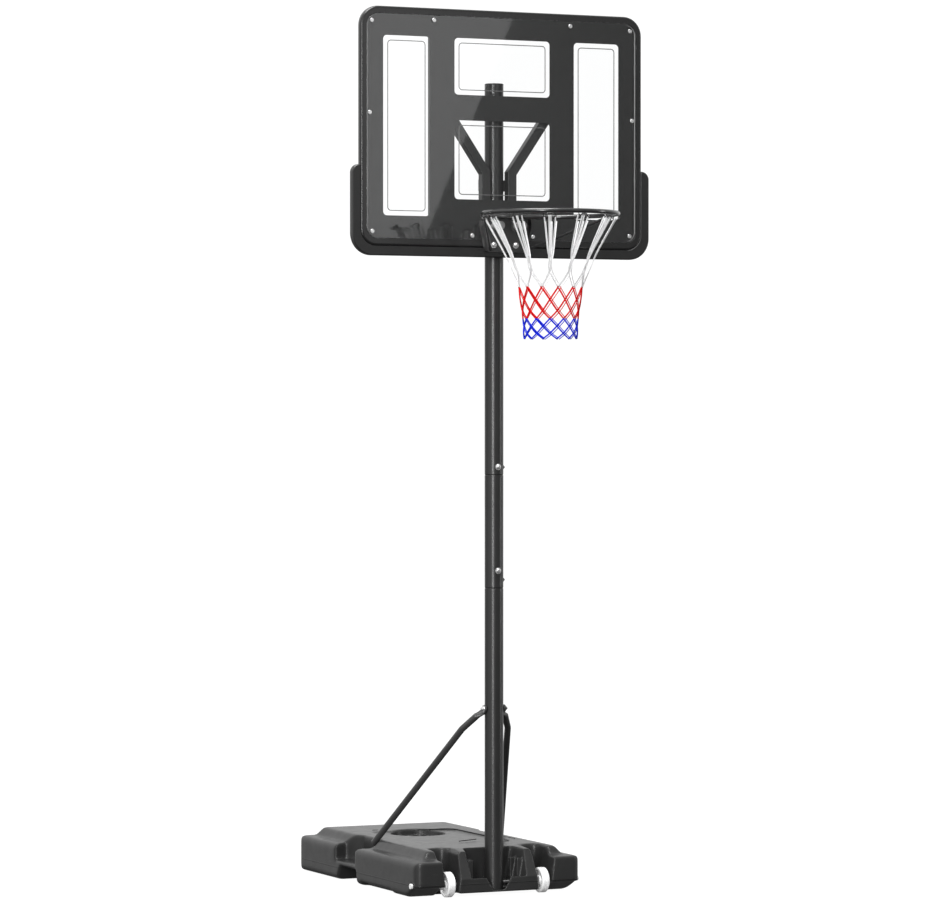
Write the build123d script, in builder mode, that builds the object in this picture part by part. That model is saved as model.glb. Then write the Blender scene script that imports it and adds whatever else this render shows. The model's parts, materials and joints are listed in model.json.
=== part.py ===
"""Portable basketball hoop: base, pole, board and breakaway rim, one solid per piece.

Millimetres. +Z up, -Y towards the player, +X to the player's right when facing the board.
The origin is on the floor at the centre of the base tank's footprint.
"""
import math
import os

from build123d import *

os.makedirs("parts", exist_ok=True)

# ---------------------------------------------------------------- driving dimensions
RUN = 0.4                    # gap between parts that move past each other

POLE_Y = -507.0              # pole axis
POLE_R = 34.0
POLE_WALL = 2.0
POLE_FOOT_Z = 20.0
JOINT_LOW_Z = 1107.0         # butt joint of lower and middle section
JOINT_HIGH_Z = 1514.5        # butt joint of middle and upper section
POLE_TOP_Z = 2922.0
SPIGOT_LEN = 110.0
SPIGOT_GAP = 0.3
JOINT_BEVEL = 2.6

BASE_W = 325.0               # half width
BASE_L = 553.0               # half length
BASE_CORNER_R = 27.0
SIDE_Z = 131.0               # top of the upright wall, outer edge of the ledge
LEDGE_IN = 48.0              # the ledge's inner edge, in from the wall
LEDGE_Z = 136.0
DECK_IN = 72.0               # the deck's edge, in from the wall
DECK_Z = 167.0
WALL_TOP_R = 20.0
LEDGE_R = 14.0
DECK_EDGE_R = 16.0
DECK_DIP_R = 60.0            # blend where the deck starts to fall towards the front
FRONT_EDGE_Z = 158.0
DECK_FRONT_Y = -450.0
FOOT_INSET = 22.0
SIDE_LIFT = 14.0             # the sides clear the floor between the front feet and the arches
SIDE_LIFT_Y = -183.0
SIDE_LIFT_LEN = 276.0
TOE_Z = 40.0                 # toe space under the front blocks
TOE_DEPTH = 110.0

WELL_IN_X = 163.0
WELL_OUT_X = 205.0
WELL_BACK_Y = -420.0
WELL_TAPER = -6.5            # the wells widen upwards, degrees
POST_LEAN = 45.0             # how far the posts' front edges lean back at the deck
POST_SHOULDER = 16.0         # bevel of a post's top edge over the well
RECESS_X = 100.0             # half width at the front, at the foot
RECESS_BACK_X = 72.0
RECESS_FLARE = 26.0          # added to the half width at the deck
RECESS_BACK_Y = -446.0
LIP_Z = 67.0
LIP_T = 8.0
LIP_BOTTOM_Z = 15.0
LIP_BACK_Y = -420.0
NOTCH_LOW_X = 22.0           # V notch in the lip, half widths
NOTCH_TOP_X = 50.0
RIB_T = 6.0
RIB_W = 16.0
RIB_H = 112.0

SCREW_R = 4.0                # shank of the pole's and struts' bolts

AXLE_Z = 46.0
AXLE_Y = -512.0
AXLE_R = 6.0
AXLE_HALF = 329.0

WHEEL_X = 186.5
WHEEL_R = 45.6
WHEEL_W = 29.0
WHEEL_BORE_R = 6.06

POCKET_FLOOR_Z = 73.0
POCKET_IN_X = 238.0
POCKET_BACK_X = 274.0
POCKET_Y0 = -72.0
POCKET_Y1 = 205.0
ARCH_Y0 = 3.0
ARCH_Y1 = 183.0
ARCH_Z = 53.0
ARCH_IN_X = 205.0

DISH_Y = 168.0
DISH_R = 102.0
DISH_D = 28.0
TRAY_X = 172.0
TRAY_Y0 = -300.0
TRAY_Y1 = 236.0
TRAY_D = 6.0
FILL_R = 27.0
FILL_DEPTH = 16.0
CAP_R = 43.0
CAP_H = 11.0

STRUT_R = 12.0
STRUT_TOP_Z = 672.0          # through-bolt at the pole
STRUT_EYE_X = 34.5           # inner face of the flattened top end
STRUT_EYE_T = 6.0
STRUT_EYE_R = 14.0
STRUT_BEND = (91.0, -430.0, 596.0)
STRUT_LOW = (257.0, -12.0, 153.0)
STRUT_FOOT_Y = 12.0          # foot bolt in the pocket's wall
STRUT_FOOT_Z = 120.0

BOARD_Y = POLE_Y - 74.0      # front face of the sheet
SHEET_T = 4.0
PRINT_T = 0.5
FRAME_X = 556.0
FRAME_TOP_Z = 3177.0
FRAME_BOT_Z = 2328.0
FRAME_IN_X = 534.0
FRAME_IN_TOP_Z = 3151.0
FRAME_IN_BOT_Z = 2356.0
FRAME_FRONT_Y = POLE_Y - 80.0
FRAME_BACK_Y = POLE_Y - 57.0
FRAME_R_TOP = 70.0
FRAME_R_BOT = 60.0
FRAME_IN_R_TOP = 48.0
FRAME_IN_R_BOT = 38.0
GUARD_X = 587.0
GUARD_BOT_Z = 2294.5
GUARD_TOP_Z = 2616.0
GUARD_FRONT_Y = POLE_Y - 78.5
GUARD_BACK_Y = POLE_Y - 55.0
GUARD_R = 78.0

WIN_OUT_X = 465.5
WIN_IN_X = 285.5
WIN_MID_X = 188.0
WIN_TOP_Z = 3075.0
WIN_SIDE_BOT_Z = 2437.0
WIN_BAND_TOP_Z = 2873.0
WIN_BAND_BOT_Z = 2781.5
WIN_LOW_BOT_Z = 2500.0
WIN_R = 14.0
LINE_INSET = 16.0
LINE_W = 3.2

FRAME_FLANGE = 490.0         # half width inside the frame's back flange
FLANGE_TOP = 44.0
FLANGE_BOT = 30.0
SHEET_X = 551.0
SHEET_TOP_Z = 3172.0
SHEET_BOT_Z = 2345.0
SHEET_R_TOP = 65.0
SHEET_R_BOT = 43.0

POST_X = 261.0               # upright channels behind the black strips
POST_W = 42.0
POST_Y0 = POLE_Y - 64.9
POST_Y1 = POLE_Y - 47.3
RAIL_HIGH_Z = 2827.0
RAIL_LOW_Z = 2378.0
RAIL_H = 38.0

ARM_X0 = POLE_R + RUN        # Y bracket tubes, one each side of the pole
ARM_X1 = 68.5
ARM_Y0 = POLE_Y - 47.0
ARM_Y1 = POLE_Y - 13.0
ARM_BOT_Z = 2345.0
ARM_BEND_Z = 2598.0
ARM_END_Z = 2866.0
ARM_TILT = 34.5
ARM_WALL = 2.2
STRAP_T = 4.0
STRAP_H = 40.0
STRAP_LOW_Z = 2425.0
STRAP_HIGH_Z = 2555.0

BOLT_X = 43.6                # rim bolts, half spacing
RIM_BOLT_R = 4.5
PIVOT_Z = 2338.0             # lower rim bolts, where the rim tips
SPRING_Z = 2406.0
RIM_PLATE_Y = POLE_Y - 84.0  # back face of the rim bracket's plate
RIM_PLATE_T = 4.0
RIM_FLANGE = 32.0
SPRING_BOLT_R = 5.0
SPRING_CAP_Y = POLE_Y - 150.0
SPRING_CAP_R = 15.5
SPRING_SEAT_T = 3.0
SPRING_R = 12.0
SPRING_WIRE_R = 1.9

RING_Y = POLE_Y - 467.0
RING_Z = 2434.0
RING_R = 236.5
RING_TUBE_R = 8.0
NET_COLUMNS = 12
HOOK_TURN = 3.7              # the hooks are turned a little from the ring's side
HOOK_HALF = 21.0
HOOK_OUT = 7.0
HOOK_DROP = 13.0
HOOK_WIRE_R = 2.0
BRACE_R = 5.0
BRACE_ANGLE = 76.0           # where a brace meets the ring, from the ring's back
NET_T = 2.5
NET_PROFILE = ((214, 2411), (136, 2238), (113, 2176), (96, 2065), (93, 1993))


def window_rects():
    """Centre and size of each clear window, in the board's plane."""
    side_w = WIN_OUT_X - WIN_IN_X
    side_x = (WIN_OUT_X + WIN_IN_X) / 2
    side_h = WIN_TOP_Z - WIN_SIDE_BOT_Z
    side_z = (WIN_TOP_Z + WIN_SIDE_BOT_Z) / 2
    top_z = (WIN_TOP_Z + WIN_BAND_TOP_Z) / 2
    top_h = WIN_TOP_Z - WIN_BAND_TOP_Z
    low_z = (WIN_BAND_BOT_Z + WIN_LOW_BOT_Z) / 2
    low_h = WIN_BAND_BOT_Z - WIN_LOW_BOT_Z
    return [
        (-side_x, side_z, side_w, side_h),
        (side_x, side_z, side_w, side_h),
        (0.0, top_z, 2 * WIN_MID_X, top_h),
        (0.0, low_z, 2 * WIN_MID_X, low_h),
    ]


def facing_player(y):
    """Drawing plane at this Y: local x is +X, local y is +Z, and extrusion goes towards -Y."""
    return Plane(origin=(0, y, 0), x_dir=(1, 0, 0), z_dir=(0, -1, 0))


def across(x):
    """Drawing plane at this X: local x is +Y, local y is +Z, and extrusion goes towards +X."""
    return Plane(origin=(x, 0, 0), x_dir=(0, 1, 0), z_dir=(1, 0, 0))


def corners_at(sketch, axis, value):
    """The sketch's corners at this local coordinate."""
    return sketch.vertices().filter_by_position(axis, value - 0.1, value + 0.1)


def near_limit(edge, x, z_low, z_high):
    """True when the edge lies on the outline of a panel of half width x, from z_low to z_high."""
    box = edge.bounding_box()
    return box.max.X > x - 1 or box.min.X < 1 - x or box.min.Z < z_low + 1 or box.max.Z > z_high - 1


def bolt_pair(y, z, turn):
    """The two rim bolt places at this Y and Z."""
    return [Location((side * BOLT_X, y, z), turn) for side in (-1, 1)]


def save(part, name):
    part.label = name
    export_step(part, "parts/" + name + ".step")


# ---------------------------------------------------------------- base tank
with BuildPart() as base_tank:
    # seen from the front: upright sides, a ledge, a raised deck
    with BuildSketch(facing_player(BASE_L)) as front_outline:
        with BuildLine():
            Polyline(
                (-BASE_W, 0),
                (BASE_W, 0),
                (BASE_W, SIDE_Z),
                (BASE_W - LEDGE_IN, LEDGE_Z),
                (BASE_W - DECK_IN, DECK_Z),
                (DECK_IN - BASE_W, DECK_Z),
                (LEDGE_IN - BASE_W, LEDGE_Z),
                (-BASE_W, SIDE_Z),
                close=True,
            )
        make_face()
        for z, r in ((0, FOOT_INSET), (SIDE_Z, WALL_TOP_R), (LEDGE_Z, LEDGE_R), (DECK_Z, DECK_EDGE_R)):
            fillet(corners_at(front_outline, Axis.Y, z), r)
    extrude(amount=2 * BASE_L)

    # seen from the side: the deck dips towards the front and steps down to a ledge at the back
    with BuildSketch(across(-BASE_W)) as side_outline:
        with BuildLine():
            Polyline(
                (-BASE_L, 0),
                (BASE_L, 0),
                (BASE_L, SIDE_Z),
                (BASE_L - LEDGE_IN, LEDGE_Z),
                (BASE_L - DECK_IN, DECK_Z),
                (DECK_FRONT_Y, DECK_Z),
                (-BASE_L, FRONT_EDGE_Z),
                close=True,
            )
        make_face()
        fillet(corners_at(side_outline, Axis.X, BASE_L), WALL_TOP_R)
        fillet(corners_at(side_outline, Axis.X, BASE_L - LEDGE_IN), LEDGE_R)
        fillet(corners_at(side_outline, Axis.X, BASE_L - DECK_IN), DECK_EDGE_R)
        fillet(corners_at(side_outline, Axis.X, DECK_FRONT_Y), DECK_DIP_R)
    extrude(amount=2 * BASE_W, mode=Mode.INTERSECT)

    # the ledge goes on round the front of the two outer blocks
    for x in (-BASE_W - 1, WELL_OUT_X - 5):
        with BuildSketch(across(x)) as front_ledge:
            with BuildLine():
                Polyline(
                    (-BASE_L - 1, DECK_Z + 1),
                    (-BASE_L - 1, SIDE_Z),
                    (LEDGE_IN - BASE_L, LEDGE_Z),
                    (DECK_IN - BASE_L, DECK_Z + 1),
                    close=True,
                )
            make_face()
            fillet(corners_at(front_ledge, Axis.Y, LEDGE_Z), LEDGE_R)
        extrude(amount=BASE_W + 6 - WELL_OUT_X, mode=Mode.SUBTRACT)

    # seen from above: rounded corners
    with BuildSketch(Plane.XY):
        RectangleRounded(2 * BASE_W, 2 * BASE_L, BASE_CORNER_R)
    extrude(amount=DECK_Z + 1, mode=Mode.INTERSECT)

    # strut pockets that open through both sides, slanted at their front end
    with BuildSketch(Plane.XY.offset(POCKET_FLOOR_Z)) as pockets:
        with BuildLine():
            Polyline(
                (-BASE_W - 40, 63),
                (-POCKET_IN_X, POCKET_Y0),
                (-POCKET_IN_X, POCKET_Y1 - 80),
                (-POCKET_BACK_X, POCKET_Y1),
                (-BASE_W - 40, POCKET_Y1 - 15),
                close=True,
            )
        make_face()
        fillet(pockets.vertices(), 14)
        mirror(about=Plane.YZ)
    extrude(amount=DECK_Z, mode=Mode.SUBTRACT)

    # arches under the two sides
    for x in (-BASE_W - 1, ARCH_IN_X):
        with BuildSketch(across(x)) as arch:
            with BuildLine():
                Polyline(
                    (ARCH_Y0, -1),
                    (ARCH_Y1, -1),
                    (ARCH_Y1 - 34, ARCH_Z),
                    (ARCH_Y0, ARCH_Z),
                    close=True,
                )
            make_face()
            fillet(arch.vertices().group_by(Axis.Y)[-1], 12)
        extrude(amount=BASE_W + 1 - ARCH_IN_X, mode=Mode.SUBTRACT)

    # the sides are lifted a little between the front feet and the arches
    for side in (-1, 1):
        with Locations((side * BASE_W, SIDE_LIFT_Y, 0)):
            Box(60, SIDE_LIFT_LEN, 2 * SIDE_LIFT, mode=Mode.SUBTRACT)

    # toe space under the two front blocks
    for x in (-BASE_W - 1, WELL_OUT_X - 5):
        with BuildSketch(across(x)):
            with BuildLine():
                Polyline(
                    (-BASE_L - 1, -1),
                    (-BASE_L - 1, TOE_Z),
                    (-BASE_L + 30, TOE_Z - 4),
                    (-BASE_L + TOE_DEPTH, -1),
                    close=True,
                )
            make_face()
        extrude(amount=BASE_W + 6 - WELL_OUT_X, mode=Mode.SUBTRACT)

    # the middle of the front is lifted off the floor
    with BuildSketch(across(-WELL_IN_X - 1)):
        with BuildLine():
            Polyline(
                (-BASE_L - 1, -1),
                (-BASE_L - 1, LIP_BOTTOM_Z),
                (LIP_BACK_Y, LIP_BOTTOM_Z),
                (LIP_BACK_Y + 20, -1),
                close=True,
            )
        make_face()
    extrude(amount=2 * WELL_IN_X + 2, mode=Mode.SUBTRACT)

    # wheel wells, open at the front, the top and the bottom
    well_mid_y = (WELL_BACK_Y - BASE_L - 40) / 2
    with BuildSketch(Plane.XY.offset(-1)):
        for side in (-1, 1):
            with Locations((side * (WELL_IN_X + WELL_OUT_X) / 2, well_mid_y)):
                RectangleRounded(WELL_OUT_X - WELL_IN_X, WELL_BACK_Y + BASE_L + 40, 14)
    extrude(amount=DECK_Z + 10, taper=WELL_TAPER, mode=Mode.SUBTRACT)

    # the posts between wells and recess lean back, and their tops fall away towards the wells
    with BuildSketch(across(-WELL_IN_X - 2)):
        with BuildLine():
            Polyline(
                (-BASE_L - 1, LIP_Z),
                (-BASE_L, LIP_Z),
                (POST_LEAN - BASE_L, DECK_Z + 1),
                (-BASE_L - 1, DECK_Z + 1),
                close=True,
            )
        make_face()
    extrude(amount=2 * WELL_IN_X + 4, mode=Mode.SUBTRACT)
    with BuildSketch(facing_player(WELL_BACK_Y)) as post_tops:
        with BuildLine():
            Polyline(
                (WELL_IN_X, DECK_Z + 1),
                (WELL_IN_X - 16 - POST_SHOULDER, DECK_Z + 1),
                (WELL_IN_X, DECK_Z - 16 - POST_SHOULDER),
                close=True,
            )
        make_face()
        mirror(about=Plane.YZ)
    extrude(amount=BASE_L + WELL_BACK_Y + 1, mode=Mode.SUBTRACT)

    # recess for the pole's foot: wider at the top and the front, closed at the front by a low lip
    recess_front = -BASE_L + LIP_T
    for z, flare in ((POLE_FOOT_Z, 0), (DECK_Z + 2, RECESS_FLARE)):
        with BuildSketch(Plane.XY.offset(z)) as recess_plan:
            with BuildLine():
                Polyline(
                    (-RECESS_X - flare, recess_front),
                    (RECESS_X + flare, recess_front),
                    (RECESS_BACK_X + flare, RECESS_BACK_Y),
                    (-RECESS_BACK_X - flare, RECESS_BACK_Y),
                    close=True,
                )
            make_face()
            fillet(recess_plan.vertices().group_by(Axis.Y)[-1], 16)
    loft(mode=Mode.SUBTRACT)
    with BuildSketch(facing_player(recess_front + 1)):
        with BuildLine():
            Polyline(
                (-RECESS_X - 8, LIP_Z),
                (RECESS_X + 8, LIP_Z),
                (RECESS_X + RECESS_FLARE, DECK_Z + 2),
                (-RECESS_X - RECESS_FLARE, DECK_Z + 2),
                close=True,
            )
        make_face()
    extrude(amount=2 * LIP_T, mode=Mode.SUBTRACT)

    # V notch in the lip
    with BuildSketch(facing_player(-BASE_L + LIP_T + 1)):
        with BuildLine():
            Polyline(
                (-NOTCH_LOW_X, POLE_FOOT_Z + 3),
                (NOTCH_LOW_X, POLE_FOOT_Z + 3),
                (NOTCH_TOP_X, LIP_Z + 2),
                (-NOTCH_TOP_X, LIP_Z + 2),
                close=True,
            )
        make_face()
    extrude(amount=2 * LIP_T, mode=Mode.SUBTRACT)

    # stiffening ribs on the recess's two slanting side walls
    for side in (-1, 1):
        for share in (0.3, 0.68):
            rib_x = RECESS_BACK_X + 4 + (RECESS_X - RECESS_BACK_X) * share
            rib_y = RECESS_BACK_Y + (recess_front - RECESS_BACK_Y) * share
            with Locations((side * rib_x, rib_y, POLE_FOOT_Z - 1)):
                Box(RIB_W, RIB_T, RIB_H, align=(Align.CENTER, Align.CENTER, Align.MIN))

    # axle tunnel through the blocks and posts
    with Locations(Location((0, AXLE_Y, AXLE_Z), (0, 90, 0))):
        Cylinder(AXLE_R + RUN, 2 * BASE_W + 4, mode=Mode.SUBTRACT)

    # sunk tray, round dish and filler hole in the deck
    with BuildSketch(Plane.XY.offset(DECK_Z - TRAY_D)):
        with Locations((0, (TRAY_Y0 + TRAY_Y1) / 2)):
            RectangleRounded(2 * TRAY_X, TRAY_Y1 - TRAY_Y0, 46)
    extrude(amount=2 * TRAY_D, mode=Mode.SUBTRACT)
    with Locations((0, DISH_Y, DECK_Z - DISH_D)):
        Cylinder(DISH_R, 2 * DISH_D, align=(Align.CENTER, Align.CENTER, Align.MIN), mode=Mode.SUBTRACT)
        Cylinder(FILL_R, 2 * FILL_DEPTH, mode=Mode.SUBTRACT)

    # blind holes for the strut foot bolts
    for side in (-1, 1):
        with Locations(Location((side * POCKET_IN_X, STRUT_FOOT_Y, STRUT_FOOT_Z), (0, 90, 0))):
            Cylinder(SCREW_R + RUN, 60, mode=Mode.SUBTRACT)
save(base_tank.part, "base_tank")


# ---------------------------------------------------------------- fill cap
with BuildPart() as fill_cap:
    with Locations((0, DISH_Y, DECK_Z - DISH_D + RUN)):
        Cylinder(CAP_R, CAP_H, align=(Align.CENTER, Align.CENTER, Align.MIN))
        Cylinder(FILL_R - RUN, FILL_DEPTH - 3, align=(Align.CENTER, Align.CENTER, Align.MAX))
    chamfer(fill_cap.edges().group_by(Axis.Z)[-1], 2)
    with Locations((0, DISH_Y, DECK_Z - DISH_D + RUN + CAP_H)):
        for angle in (0, 90):
            with Locations(Rotation(0, 0, angle)):
                Box(2 * CAP_R - 20, 9, 6)
save(fill_cap.part, "fill_cap")


# ---------------------------------------------------------------- axle and wheels
with BuildPart() as axle_rod:
    with Locations(Location((0, AXLE_Y, AXLE_Z), (0, 90, 0))):
        Cylinder(AXLE_R, 2 * AXLE_HALF)
save(axle_rod.part, "axle_rod")

with BuildPart() as axle_caps:
    for side in (-1, 1):
        with Locations(Location((side * (BASE_W + 4), AXLE_Y, AXLE_Z), (0, 90, 0))):
            Cylinder(AXLE_R + 3.5, 7)
            Cylinder(AXLE_R + 0.05, 20, mode=Mode.SUBTRACT)
        with Locations(Location((side * (AXLE_HALF + 2.1), AXLE_Y, AXLE_Z), (0, 90, 0))):
            Cylinder(AXLE_R + 3.5, 4)
save(axle_caps.part, "axle_caps")


def wheel(x):
    """A wheel with a grooved tread and dished faces, turning about the axle."""
    half = WHEEL_W / 2
    with BuildPart() as one_wheel:
        with BuildSketch(Plane.XY) as section:
            with BuildLine():
                Polyline(
                    (-half, WHEEL_BORE_R),
                    (-half, 15),
                    (-half + 5, 18),
                    (-half + 5, 34),
                    (-half, 37),
                    (-half, WHEEL_R - 4),
                    (-half + 4, WHEEL_R),
                    (half - 4, WHEEL_R),
                    (half, WHEEL_R - 4),
                    (half, 37),
                    (half - 5, 34),
                    (half - 5, 18),
                    (half, 15),
                    (half, WHEEL_BORE_R),
                    close=True,
                )
            make_face()
            with Locations((-6.5, WHEEL_R), (0, WHEEL_R), (6.5, WHEEL_R)):
                Rectangle(2, 3.6, mode=Mode.SUBTRACT)
        revolve(axis=Axis.X)
    return Pos(x, AXLE_Y, AXLE_Z) * one_wheel.part


wheel_left = wheel(-WHEEL_X)
save(wheel_left, "wheel_left")
wheel_right = wheel(WHEEL_X)
save(wheel_right, "wheel_right")


# ---------------------------------------------------------------- pole
POLE_AXIS = Axis((0, POLE_Y, 0), (0, 0, 1))
POLE_IN_R = POLE_R - POLE_WALL
SPIGOT_R = POLE_IN_R - SPIGOT_GAP
FRONT_SCREWS_Z = (1170.0, 1543.5)
SIDE_SCREWS_Z = (1136.0, 1542.0)


def tube_with_spigot(z0, z1):
    """Tube from z0 to z1 with a swaged spigot above it, as a half section about the pole axis."""
    with BuildPart() as tube:
        with BuildSketch(facing_player(POLE_Y)):
            with BuildLine():
                Polyline(
                    (POLE_IN_R, z0),
                    (POLE_R - JOINT_BEVEL / 2, z0),
                    (POLE_R, z0 + JOINT_BEVEL),
                    (POLE_R, z1 - JOINT_BEVEL),
                    (SPIGOT_R, z1),
                    (SPIGOT_R, z1 + SPIGOT_LEN),
                    (SPIGOT_R - POLE_WALL, z1 + SPIGOT_LEN),
                    (SPIGOT_R - POLE_WALL, z1 - JOINT_BEVEL),
                    (POLE_IN_R, z1 - 3 * JOINT_BEVEL),
                    close=True,
                )
            make_face()
        revolve(axis=POLE_AXIS)
    return tube.part


with BuildPart() as pole_lower:
    add(tube_with_spigot(POLE_FOOT_Z + 0.3, JOINT_LOW_Z))
    with Locations(Location((0, AXLE_Y, AXLE_Z), (0, 90, 0))):
        Cylinder(AXLE_R + RUN, 4 * POLE_R, mode=Mode.SUBTRACT)
    with Locations(Location((0, POLE_Y, STRUT_TOP_Z), (0, 90, 0))):
        Cylinder(SCREW_R + RUN, 4 * POLE_R, mode=Mode.SUBTRACT)
    with Locations(Location((0, POLE_Y - POLE_R, FRONT_SCREWS_Z[0]), (90, 0, 0))):
        Cylinder(SCREW_R + RUN, POLE_R, mode=Mode.SUBTRACT)
    with Locations(Location((POLE_R, POLE_Y, SIDE_SCREWS_Z[0]), (0, 90, 0))):
        Cylinder(SCREW_R + RUN, POLE_R, mode=Mode.SUBTRACT)
save(pole_lower.part, "pole_lower")

with BuildPart() as pole_middle:
    add(tube_with_spigot(JOINT_LOW_Z, JOINT_HIGH_Z))
    for z in FRONT_SCREWS_Z:
        with Locations(Location((0, POLE_Y - POLE_R, z), (90, 0, 0))):
            Cylinder(SCREW_R + RUN, POLE_R, mode=Mode.SUBTRACT)
    for z in SIDE_SCREWS_Z:
        with Locations(Location((POLE_R, POLE_Y, z), (0, 90, 0))):
            Cylinder(SCREW_R + RUN, POLE_R, mode=Mode.SUBTRACT)
save(pole_middle.part, "pole_middle")

POLE_CAP_T = 3.0
with BuildPart() as pole_upper:
    with BuildSketch(facing_player(POLE_Y)):
        with BuildLine():
            Polyline(
                (POLE_IN_R, JOINT_HIGH_Z),
                (POLE_R - JOINT_BEVEL / 2, JOINT_HIGH_Z),
                (POLE_R, JOINT_HIGH_Z + JOINT_BEVEL),
                (POLE_R, POLE_TOP_Z - POLE_CAP_T),
                (POLE_IN_R, POLE_TOP_Z - POLE_CAP_T),
                close=True,
            )
        make_face()
    revolve(axis=POLE_AXIS)
    with Locations(Location((0, POLE_Y - POLE_R, FRONT_SCREWS_Z[1]), (90, 0, 0))):
        Cylinder(SCREW_R + RUN, POLE_R, mode=Mode.SUBTRACT)
    with Locations(Location((POLE_R, POLE_Y, SIDE_SCREWS_Z[1]), (0, 90, 0))):
        Cylinder(SCREW_R + RUN, POLE_R, mode=Mode.SUBTRACT)
save(pole_upper.part, "pole_upper")

with BuildPart() as pole_top_cap:
    with Locations((0, POLE_Y, POLE_TOP_Z - POLE_CAP_T + 0.1)):
        Cylinder(POLE_R, POLE_CAP_T - 0.1, align=(Align.CENTER, Align.CENTER, Align.MIN))
    chamfer(pole_top_cap.edges().group_by(Axis.Z)[-1], 1.5)
    with Locations((0, POLE_Y, POLE_TOP_Z - POLE_CAP_T + 0.1)):
        Cylinder(POLE_IN_R - 0.2, 18, align=(Align.CENTER, Align.CENTER, Align.MAX))
save(pole_top_cap.part, "pole_top_cap")


def flanged_screw(head_r, head_t, shank_r, shank_len):
    """Domed screw with a flange: seat at the origin, head towards +Z."""
    with BuildPart() as screw:
        Cylinder(head_r, 2, align=(Align.CENTER, Align.CENTER, Align.MIN))
        with Locations((0, 0, 2)):
            Cylinder(head_r * 0.72, head_t - 2, align=(Align.CENTER, Align.CENTER, Align.MIN))
        chamfer(screw.edges().group_by(Axis.Z)[-1], (head_t - 2) * 0.6)
        Cylinder(shank_r, shank_len, align=(Align.CENTER, Align.CENTER, Align.MAX))
    return screw.part


TO_PLAYER = (90, 0, 0)
TO_RIGHT = (0, 90, 0)
TO_LEFT = (0, -90, 0)
TO_BACK = (-90, 0, 0)
JOINT_SCREW_LEN = POLE_WALL * 2 + 6

with BuildPart() as joint_screws_front:
    front_screw = flanged_screw(11.5, 9, SCREW_R, JOINT_SCREW_LEN)
    for z in FRONT_SCREWS_Z:
        add(Location((0, POLE_Y - POLE_R - 0.1, z), TO_PLAYER) * front_screw)
save(joint_screws_front.part, "joint_screws_front")

with BuildPart() as joint_screws_side:
    side_screw = flanged_screw(8, 8, SCREW_R, JOINT_SCREW_LEN)
    for z in SIDE_SCREWS_Z:
        add(Location((POLE_R + 0.1, POLE_Y, z), TO_RIGHT) * side_screw)
save(joint_screws_side.part, "joint_screws_side")


# ---------------------------------------------------------------- struts
def strut():
    """Right-hand strut: round tube with one bend, flattened into an eye at each end."""
    top = Vector(STRUT_EYE_X + STRUT_EYE_T / 2, POLE_Y, STRUT_TOP_Z)
    bend = Vector(*STRUT_BEND)
    low = Vector(*STRUT_LOW)
    foot = Vector(POCKET_IN_X + 0.5 + STRUT_EYE_T / 2, STRUT_FOOT_Y, STRUT_FOOT_Z)
    upper_dir = (bend - top).normalized()
    lower_dir = (low - bend).normalized()
    start = top + upper_dir * 44
    with BuildPart() as body:
        with BuildLine() as path:
            FilletPolyline(start, bend, low, radius=55)
        with BuildSketch(Plane(origin=start, z_dir=upper_dir)):
            Circle(STRUT_R)
        sweep()
        near_top = top + Vector(0, 0.7, -0.7) * 16
        with BuildSketch(Plane(origin=near_top, x_dir=Vector(0, 1, 1), z_dir=Vector(0, 1, -1))):
            RectangleRounded(2 * STRUT_EYE_R, STRUT_EYE_T, 2.9)
        with BuildSketch(Plane(origin=start, x_dir=upper_dir.cross(Vector(1, 0, 0)) * -1, z_dir=upper_dir)):
            Circle(STRUT_R)
        loft()
        with BuildSketch(Plane(origin=low, x_dir=lower_dir.cross(Vector(1, 0, 0)) * -1, z_dir=lower_dir)):
            Circle(STRUT_R)
        near_foot = foot + Vector(0, -0.6, 0.8) * 10
        with BuildSketch(Plane(origin=near_foot, x_dir=Vector(0, 0.8, 0.6), z_dir=Vector(0, 0.6, -0.8))):
            RectangleRounded(2 * STRUT_EYE_R, STRUT_EYE_T, 2.9)
        loft()
        for eye in (top, foot):
            with Locations(Location(eye, TO_RIGHT)):
                Cylinder(STRUT_EYE_R, STRUT_EYE_T)
        with BuildSketch(across(top.X - STRUT_EYE_T / 2)):
            with BuildLine():
                mid = near_top
                Polyline(
                    (top.Y - 9.9, top.Z - 9.9),
                    (top.Y + 9.9, top.Z + 9.9),
                    (mid.Y + 9.9, mid.Z + 9.9),
                    (mid.Y - 9.9, mid.Z - 9.9),
                    close=True,
                )
            make_face()
        extrude(amount=STRUT_EYE_T)
        for eye in (top, foot):
            with Locations(Location(eye, TO_RIGHT)):
                Cylinder(SCREW_R + RUN, 3 * STRUT_EYE_T, mode=Mode.SUBTRACT)
    return body.part


strut_right = strut()
save(strut_right, "strut_right")
strut_left = mirror(strut_right, about=Plane.YZ)
save(strut_left, "strut_left")

STRUT_OUT_X = STRUT_EYE_X + STRUT_EYE_T
with BuildPart() as strut_bolt:
    through_bolt = flanged_screw(13, 11, SCREW_R, 2 * STRUT_OUT_X + 12)
    add(Location((-STRUT_OUT_X - 0.2, POLE_Y, STRUT_TOP_Z), TO_LEFT) * through_bolt)
save(strut_bolt.part, "strut_bolt")

with BuildPart() as strut_nut:
    with Locations(Location((STRUT_OUT_X + 0.2, POLE_Y, STRUT_TOP_Z), TO_RIGHT)):
        Cylinder(13, 2, align=(Align.CENTER, Align.CENTER, Align.MIN))
        Cone(10, 6, 9, align=(Align.CENTER, Align.CENTER, Align.MIN))
        Cylinder(SCREW_R + 0.05, 60, mode=Mode.SUBTRACT)
save(strut_nut.part, "strut_nut")

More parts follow.
